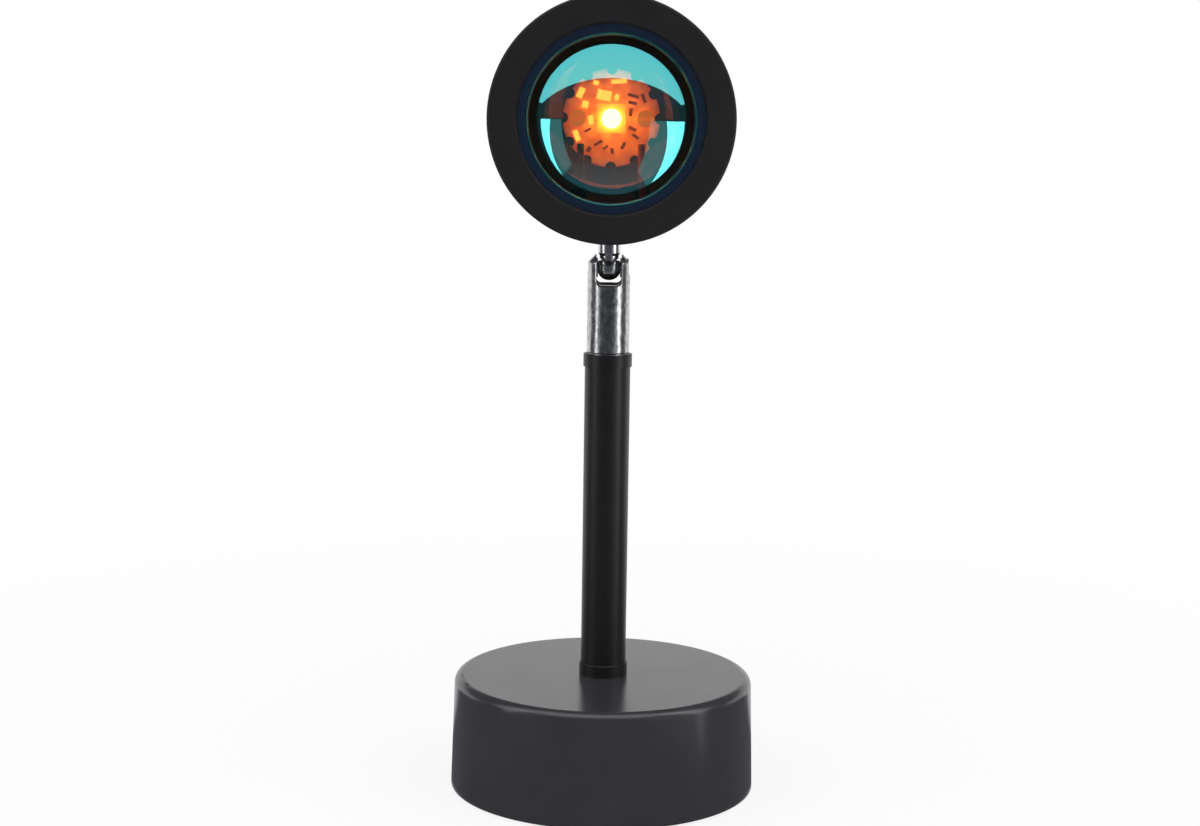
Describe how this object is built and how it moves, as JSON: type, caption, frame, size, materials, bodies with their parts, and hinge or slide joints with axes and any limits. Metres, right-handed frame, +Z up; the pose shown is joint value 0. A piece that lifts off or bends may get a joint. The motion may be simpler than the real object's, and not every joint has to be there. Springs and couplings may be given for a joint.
{
  "type": "projection lamp",
  "caption": "Small table lamp with a round weighted base, a slim pole and a short round head on a chrome pan-and-tilt knuckle, with a domed lens that projects a disc of light.",
  "frame": {"origin": "on the floor, under the middle of the round base, on the pole's axis", "axes": "+Z up along the pole, -Y the way the lens looks, +Y towards the cord gland at the back, +X to the right of someone who faces the lens"},
  "size_m": [0.0812, 0.0819, 0.2092],
  "materials": {
    "satin_black": "satin black paint",
    "pole_black": "satin black paint",
    "matte_black": "matte black anodised",
    "chrome": "polished chrome plate",
    "steel": "zinc plated",
    "black_steel": "black oxide",
    "iron": "as cast",
    "cover_plastic": "moulded black",
    "foam": "closed-cell foam",
    "rubber": "matte black rubber",
    "lens_glass": "clear, colour-splitting coating",
    "board": "white solder mask",
    "phosphor": "yellow phosphor",
    "silicone": "clear silicone",
    "thermal_grey": "soft grey",
    "insulation": "PVC insulation"
  },
  "bodies": {
    "base": {"base_shell": "satin_black", "base_cover": "cover_plastic", "cover_screws": "steel", "anti_slip_pad": "foam", "base_weight": "iron", "cord_gland": "rubber", "pole_nipple": "steel", "lock_washer": "steel", "lock_nut": "steel", "pole_tube": "pole_black", "lower_collar": "pole_black", "upper_collar": "pole_black", "pole_bush": "steel", "swivel_stud": "steel", "slip_washer": "steel", "spring_washer": "steel", "pole_leads": "insulation"},
    "yoke": {"knuckle_barrel": "chrome", "ring_nut": "steel", "stop_pin": "steel", "knuckle_screw": "steel", "friction_washers": "steel"},
    "head": {"neck": "chrome", "neck_washer": "steel", "neck_nut": "steel", "lamp_housing": "matte_black", "front_bezel": "matte_black", "lens": "lens_glass", "lens_gasket": "rubber", "shroud": "matte_black", "led_board": "board", "board_screws": "steel", "thermal_pad": "thermal_grey", "led_emitter": "phosphor", "emitter_dome": "silicone", "heat_sink": "matte_black", "set_screws": "black_steel", "head_leads": "insulation"}
  },
  "joints": [
    {"name": "pan", "type": "hinge", "parent": "base", "child": "yoke", "pos_m": [0, 0, 0.1173], "axis": [0, 0, 1], "range_deg": [-165, 165]},
    {"name": "tilt", "type": "hinge", "parent": "yoke", "child": "head", "pos_m": [0, 0, 0.1396], "axis": [1, 0, 0], "range_deg": [-90, 90]}
  ]
}
